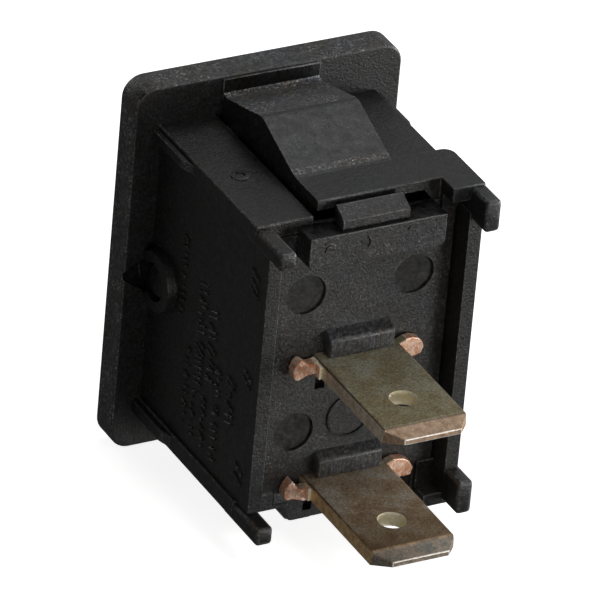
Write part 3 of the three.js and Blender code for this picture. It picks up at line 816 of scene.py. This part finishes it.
# Ears pinched out of the blade's root, as (|x|, z) from the blade's middle: the left ones have a thin neck
# and an axe-shaped head, the right ones are rounded lugs.
EARS = {
    "terminal_common": (
        [(2.2, -0.36), (2.52, -0.33), (2.85, -0.32), (3.12, -0.42), (3.4, -0.55), (3.6, -0.48),
         (3.7, -0.25), (3.72, 0.0), (3.62, 0.3), (3.46, 0.52), (3.3, 0.6), (3.1, 0.42), (2.85, 0.28),
         (2.52, 0.3), (2.2, 0.36)],
        [(2.2, -0.5), (3.2, -0.55), (3.55, -0.42), (3.68, -0.12), (3.62, 0.2), (3.35, 0.5),
         (2.95, 0.62), (2.6, 0.58), (2.2, 0.4)]),
    "terminal_load": (
        [(2.2, -0.62), (2.5, -0.66), (2.85, -0.52), (3.15, -0.42), (3.4, -0.45), (3.55, -0.36),
         (3.62, -0.1), (3.55, 0.2), (3.4, 0.48), (3.22, 0.66), (3.1, 0.5), (2.9, 0.2), (2.6, 0.02),
         (2.2, 0.1)],
        [(2.2, -0.5), (3.25, -0.52), (3.65, -0.5), (3.76, -0.1), (3.5, 0.35), (3.15, 0.56),
         (2.6, 0.64), (2.2, 0.5)]),
}
EAR_FRONT, LEFT_EAR_REAR, RIGHT_EAR_REAR = 10.72, 11.34, 11.22

PLATING, COPPER, FACET, CREAM, SIDE, ROLL_DARK_REFLECTION, RIM_HIGHLIGHT = range(7)
EAR_GAP = 0.12
PLAIN_FROM = 11.2


def blade_layer(bm, z, side):
    """The corners of the blade's upper or lower side, thinner at the tip, and its two faces."""
    half, tip_x, root = BLADE["half_x"], BLADE["tip_x"], BLADE["root"]
    shoulder, tip = BLADE["shoulder"], BLADE["tip"]
    plan = [(-half, root), (half, root), (half, shoulder), (tip_x, tip), (-tip_x, tip), (-half, shoulder)]
    layer = []
    for x, y in plan:
        thick = BLADE["tip_thick"] if y > shoulder else BLADE["thick"]
        layer.append(bm.verts.new((x, y, z + side * thick)))
    bm.faces.new([layer[i] for i in (0, 1, 2, 5)])
    bm.faces.new([layer[i] for i in (2, 3, 4, 5)])
    return layer


def blade_body(z):
    """The flat blade with its bevelled tip, its long top edges rolled over by the shears."""
    bm = bmesh.new()
    lower, upper = [blade_layer(bm, z, side) for side in (-1, 1)]
    for i in range(len(lower)):
        j = (i + 1) % len(lower)
        bm.faces.new((lower[i], lower[j], upper[j], upper[i]))
    bmesh.ops.recalc_face_normals(bm, faces=bm.faces[:])
    at_side = [e for e in bm.edges if all(abs(abs(v.co.x) - BLADE["half_x"]) < 1e-4 for v in e.verts)]
    rolled = [e for e in at_side if all(v.co.z > z for v in e.verts)]
    bmesh.ops.bevel(
        bm, geom=rolled, offset=BLADE["rolled"], offset_type="OFFSET", segments=9, profile=0.5,
        affect="EDGES")
    round_edges(bm, 0.045, least=35)
    return new_object("part", scaled(bm))


def ear(node, left):
    outline = [(x if left else -x, BLADES[node] + z) for x, z in EARS[node][0 if left else 1]]
    return prism(outline, "y", EAR_FRONT, LEFT_EAR_REAR if left else RIGHT_EAR_REAR, round_by=0.06)


def blade_finish(face):
    """Which finish a face of the blade has, from where it is and which way it looks."""
    centre, normal = face.center / MM, face.normal
    half, shoulder = BLADE["half_x"], BLADE["shoulder"]
    from_hole = math.hypot(centre.x, centre.y - BLADE["hole_y"])
    # the hole's wall: bare brass, painted bright and non-metallic for the reflection it shows
    if from_hole < BLADE["hole"] + 0.02 and abs(normal.z) < 0.5:
        return CREAM
    if abs(centre.x) > half + EAR_GAP:
        return COPPER
    if centre.x > half and centre.y < 11.9:
        return CREAM
    # painted highlight along the tip's narrow edge faces
    if centre.y > BLADE["tip"] - 0.12 and face.area < 0.25 * MM * MM:
        return RIM_HIGHLIGHT
    if centre.y > shoulder + 0.03:
        return FACET
    if centre.y > PLAIN_FROM and abs(normal.x) > 0.9:
        return SIDE
    # painted reflection: the rolled-over top edge, darker for the dark surroundings it mirrors
    if centre.y > PLAIN_FROM and 0.1 < normal.z < 0.97:
        return ROLL_DARK_REFLECTION
    return PLATING


def make_blade(node, finishes):
    """A terminal: its inner end as the CAD has it, and outside the plate the blade, its ears and its step."""
    z = BLADES[node]
    outside = block((-5, 5), (BLADE["root"] + 0.05, 21), (-12, 12))
    inner = boolean(node_copy(node), [outside], "DIFFERENCE")
    step = block(STEP["x"], STEP["y"], (z - STEP["below"], z + STEP["above"]), round_by=0.06)
    blade = boolean(blade_body(z), [inner, ear(node, True), ear(node, False), step], "UNION")
    hole = prism(circle(0, BLADE["hole_y"], BLADE["hole"], 64), "z", z - 2, z + 2)
    blade = shaded(boolean(blade, [hole], "DIFFERENCE"), 12)
    adopt(blade, node + "_blade", "body", finishes[0], "blade_brass", node)
    paint(blade, finishes, blade_finish)


# ---------------------------------------------------------------- the moving pieces

# The spring leans with the rocker's bore.
BORE = {"front": 2.4, "half_x": 1.1}


def in_bore(point):
    """Whether a point of the rocker is at the bore that the spring and plunger run in."""
    return point.y > BORE["front"] and abs(point.x) < BORE["half_x"]


def make_rocker(material):
    rocker = softened(node_copy("rocker"), 0.25, in_bore)
    adopt(rocker, "rocker_cap", "rocker", material, "rocker_nylon", "rocker")


def make_spring(material):
    """The coil, in the CAD's shape, riding with the plunger."""
    spring = node_copy("spring")
    adopt(spring, "spring_coil", "plunger", material, "spring_steel", "spring")
    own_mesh(spring)


def dress(node, material):
    """A CAD node whose shape is right keeps its mesh and gets its finish."""
    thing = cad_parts[node]
    thing.data.materials.clear()
    thing.data.materials.append(material)


# ---------------------------------------------------------------- the scene

bpy.context.scene.view_settings.view_transform = "Standard"
make_camera()
make_world()
make_floor()

black = nylon("black_nylon", 0.009, 0.42)
# grained faces: real grain, painted paler and with strong pale specks for the light their grain catches
grain_glint_black = nylon("grain_glint_nylon", 0.040, 0.56, 0.06, 1.0)
plate_black = nylon("plate_nylon", 0.017, 0.44)
# painted highlight: pale grained bands where the tongue's folds catch the light
fold_highlight_black = nylon("fold_highlight_nylon", 0.075, 0.6, 0.06, 1.0)
# narrow rounded edges painted paler, partly for wear and partly as a painted highlight along them
worn_highlit_black = nylon("worn_highlit_nylon", 0.040, 0.42, 0.03, 0.4)
pin_black = nylon("pin_mark_nylon", 0.013, 0.38, 0.006, 0.2, 0.5)
# painted shade: smoother and darker nylon for faces that lie in shadow
sleek_shaded_black = nylon("sleek_shaded_nylon", 0.005, 0.28, 0.004, 0.2, 0.4)
combed_black = nylon("combed_nylon", 0.034, 0.40, 0.02, 0.3, 0.7, True)
smooth_black = nylon("rocker_nylon", 0.012, 0.34, 0.004, 0.1)

copper = cut_metal("sheared_copper", (1.0, 0.72, 0.55), (0.74, 0.30, 0.15), 0.3, 0.35)
# bare brass in the holes and at the step; its near-white non-metallic colour is also a painted reflection of
# the bright surroundings
cream = cut_metal("bare_brass_and_reflection", (0.98, 0.92, 0.72), (0.92, 0.78, 0.46), 0.5, 0.0)
# painted highlight: a near-white line along the tip's narrow edges
rim_highlight = cut_metal("edge_highlight", (1.0, 0.96, 0.90), (0.80, 0.70, 0.58), 0.35, 0.3)
# the last colour of each plating is the painted shade towards the tip
olive = tarnished(
    "olive_plating", (0.31, 0.26, 0.16), (0.37, 0.34, 0.23), (0.43, 0.42, 0.34), (0.74, 0.68, 0.55))
brown = tarnished(
    "brown_plating", (0.38, 0.26, 0.16), (0.52, 0.40, 0.28), (0.60, 0.56, 0.48), (0.42, 0.37, 0.29))
upper_tip = cut_metal("upper_tip", (0.48, 0.34, 0.23), (0.30, 0.19, 0.12))
upper_side = cut_metal("upper_side", (0.98, 0.84, 0.64), (0.70, 0.54, 0.38))
# painted reflection: the upper blade's rolled edge is dark for the dark surroundings it mirrors
upper_roll_dark_reflection = cut_metal("upper_roll_dark_reflection", (0.22, 0.17, 0.12), (0.12, 0.09, 0.06))
lower_tip = cut_metal("lower_tip", (0.34, 0.27, 0.20), (0.17, 0.17, 0.15))
lower_side = cut_metal("lower_side", (0.98, 0.68, 0.34), (0.72, 0.43, 0.20))
# painted reflection: the lower blade's rolled edge, darker for what it mirrors
lower_roll_dark_reflection = cut_metal("lower_roll_dark_reflection", (0.40, 0.27, 0.15), (0.20, 0.13, 0.08))

make_housing((black, grain_glint_black, fold_highlight_black, worn_highlit_black, sleek_shaded_black))
make_plate((plate_black, pin_black, combed_black, worn_highlit_black, sleek_shaded_black))
make_blade("terminal_common", (olive, copper, upper_tip, cream, upper_side, upper_roll_dark_reflection, rim_highlight))
make_blade("terminal_load", (brown, copper, lower_tip, cream, lower_side, lower_roll_dark_reflection, rim_highlight))

make_rocker(smooth_black)
dress("plunger", smooth_black)
make_spring(bare_metal("spring_wire", (0.55, 0.55, 0.56), 0.3))
dress("contact_arm", bare_metal("copper_strip", (0.62, 0.33, 0.18), 0.3))
silver = bare_metal("silver_alloy", (0.78, 0.77, 0.74), 0.25)
dress("fixed_contact", silver)
dress("moving_contact", silver)
